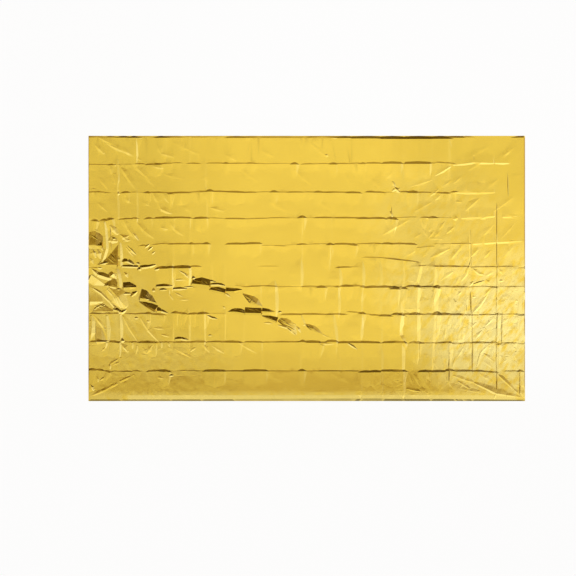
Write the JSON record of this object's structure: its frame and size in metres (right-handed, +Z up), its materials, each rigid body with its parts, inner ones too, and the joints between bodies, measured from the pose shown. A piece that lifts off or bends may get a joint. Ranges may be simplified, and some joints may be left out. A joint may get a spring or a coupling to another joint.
{
  "type": "emergency foil blanket",
  "caption": "Thin rectangular gold foil sheet lying unfolded, with the grid of sharp creases left by its packed state and slanting crumples between them.",
  "frame": {"origin": "middle of the sheet's outline, on the surface that it lies on", "axes": "+X to the right along the long side, +Y to the back edge, +Z up out of the sheet"},
  "size_m": [2.1, 1.4003, 0.0212],
  "materials": {
    "gold_film": "gloss"
  },
  "bodies": {
    "root": {"foil_sheet": "gold_film"}
  },
  "joints": []
}
